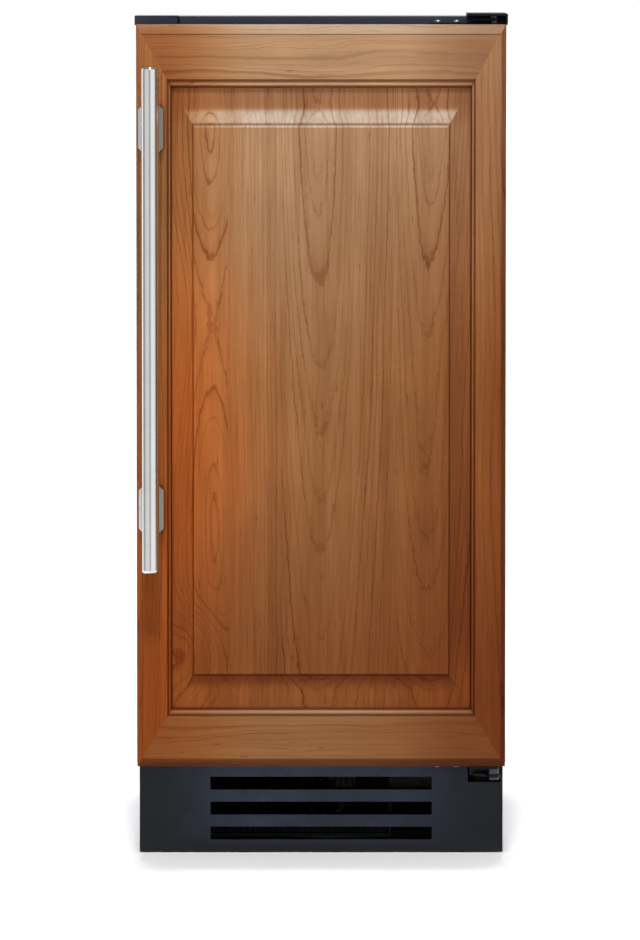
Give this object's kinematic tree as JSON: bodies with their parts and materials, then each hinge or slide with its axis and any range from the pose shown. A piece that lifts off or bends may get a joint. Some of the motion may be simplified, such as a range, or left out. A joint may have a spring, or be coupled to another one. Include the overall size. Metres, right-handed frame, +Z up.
{
  "type": "undercounter ice maker",
  "caption": "Narrow built-in ice maker with a raised-panel wooden door hinged on the right, a long bar handle, a slotted kick plate and a working interior.",
  "frame": {"origin": "on the floor, centred on the width and on the depth over the handle", "axes": "+Z up; -Y out of the door's face; +X to the right seen from the front"},
  "size_m": [0.378, 0.653, 0.8548],
  "materials": {
    "cabinet_paint": "satin",
    "galvanised": "satin",
    "foam": "matte",
    "liner_plastic": "gloss",
    "black_metal": "satin",
    "steel": "polished",
    "kick_paint": "satin",
    "foot_plastic": "matte",
    "compressor_paint": "gloss",
    "grommet_rubber": "matte",
    "fin_aluminium": "satin",
    "copper": "satin",
    "black_plastic": "matte",
    "motor_metal": "satin",
    "valve_plastic": "matte",
    "grey_plastic": "matte",
    "nickel": "satin",
    "white_plastic": "satin",
    "clear_plastic": "gloss",
    "housing_plastic": "satin",
    "button_plastic": "satin",
    "display_glass": "gloss",
    "scoop_plastic": "gloss",
    "gasket_rubber": "matte",
    "door_wood": "satin",
    "handle_steel": "satin",
    "bracket_steel": "satin"
  },
  "bodies": {
    "cabinet": {"side_panels": "cabinet_paint", "top_panel": "cabinet_paint", "back_panel": "galvanised", "service_panel": "galvanised", "base_pan": "black_metal", "front_frame": "cabinet_paint", "insulation": "foam", "inner_liner": "liner_plastic", "hinge_hole_cover": "cabinet_paint", "hinge_brackets": "black_metal", "hinge_pins": "steel", "kick_grille": "kick_paint", "compressor": "compressor_paint", "compressor_grommets": "grommet_rubber", "condenser_fins": "fin_aluminium", "condenser_tube": "copper", "fan_shroud": "black_plastic", "fan_motor": "motor_metal", "refrigerant_tubes": "copper", "water_valve": "valve_plastic", "drain_fitting": "black_plastic", "cord_gland": "black_plastic", "evaporator_grid": "nickel", "evaporator_cheeks": "white_plastic", "water_distributor": "white_plastic", "sump": "grey_plastic", "circulation_pump": "black_plastic", "ice_chute": "white_plastic", "bin_thermostat": "motor_metal", "control_housing": "housing_plastic", "display_lens": "display_glass", "light_lens": "clear_plastic", "scoop_holder": "grey_plastic", "bin_drain": "grey_plastic", "bin_dam": "liner_plastic"},
    "door": {"door_shell": "cabinet_paint", "door_insulation": "foam", "door_liner": "liner_plastic", "door_gasket": "gasket_rubber", "door_top_rail": "door_wood", "door_bottom_rail": "door_wood", "door_left_stile": "door_wood", "door_right_stile": "door_wood", "door_raised_panel": "door_wood", "handle_tube": "handle_steel", "handle_brackets": "bracket_steel", "hinge_straps": "black_metal", "hinge_strap_screws": "steel"},
    "curtain": {"water_curtain": "clear_plastic"},
    "flap": {"bin_flap": "clear_plastic"},
    "fan": {"fan_blade": "black_plastic"},
    "float": {"sump_float": "white_plastic"},
    "power_key": {"power_button": "button_plastic"},
    "light_key": {"light_button": "button_plastic"},
    "clean_key": {"clean_button": "button_plastic"},
    "scoop_body": {"scoop": "scoop_plastic"},
    "leg_fl": {"leg_front_left": "foot_plastic"},
    "leg_fr": {"leg_front_right": "foot_plastic"},
    "leg_rl": {"leg_rear_left": "foot_plastic"},
    "leg_rr": {"leg_rear_right": "foot_plastic"}
  },
  "joints": [
    {"name": "door_hinge", "type": "hinge", "parent": "cabinet", "child": "door", "pos_m": [0.175, -0.243, 0.47], "axis": [0, 0, 1], "range_deg": [0, 110]},
    {"name": "curtain_swing", "type": "hinge", "parent": "cabinet", "child": "curtain", "pos_m": [0, 0.19, 0.78], "axis": [-1, 0, 0], "range_deg": [0, 30]},
    {"name": "flap_swing", "type": "hinge", "parent": "cabinet", "child": "flap", "pos_m": [0, -0.19, 0.54], "axis": [1, 0, 0], "range_deg": [0, 70]},
    {"name": "fan_spin", "type": "hinge", "parent": "cabinet", "child": "fan", "pos_m": [-0.02, -0.1395, 0.071], "axis": [0, 1, 0], "continuous": true},
    {"name": "float_rise", "type": "slide", "parent": "cabinet", "child": "float", "axis": [0, 0, 1], "range_m": [0, 0.015]},
    {"name": "power_press", "type": "slide", "parent": "cabinet", "child": "power_key", "axis": [0, 1, 0], "range_m": [0, 0.0015], "stiffness_N_per_m": 800, "springref_m": -0.001},
    {"name": "light_press", "type": "slide", "parent": "cabinet", "child": "light_key", "axis": [0, 1, 0], "range_m": [0, 0.0015], "stiffness_N_per_m": 800, "springref_m": -0.001},
    {"name": "clean_press", "type": "slide", "parent": "cabinet", "child": "clean_key", "axis": [0, 1, 0], "range_m": [0, 0.0015], "stiffness_N_per_m": 800, "springref_m": -0.001},
    {"name": "scoop_lift", "type": "slide", "parent": "cabinet", "child": "scoop_body", "axis": [0, 0, 1], "range_m": [0, 0.04]},
    {"name": "leg_fl_screw", "type": "slide", "parent": "cabinet", "child": "leg_fl", "axis": [0, 0, -1], "range_m": [0, 0.019]},
    {"name": "leg_fr_screw", "type": "slide", "parent": "cabinet", "child": "leg_fr", "axis": [0, 0, -1], "range_m": [0, 0.019]},
    {"name": "leg_rl_screw", "type": "slide", "parent": "cabinet", "child": "leg_rl", "axis": [0, 0, -1], "range_m": [0, 0.019]},
    {"name": "leg_rr_screw", "type": "slide", "parent": "cabinet", "child": "leg_rr", "axis": [0, 0, -1], "range_m": [0, 0.019]}
  ]
}
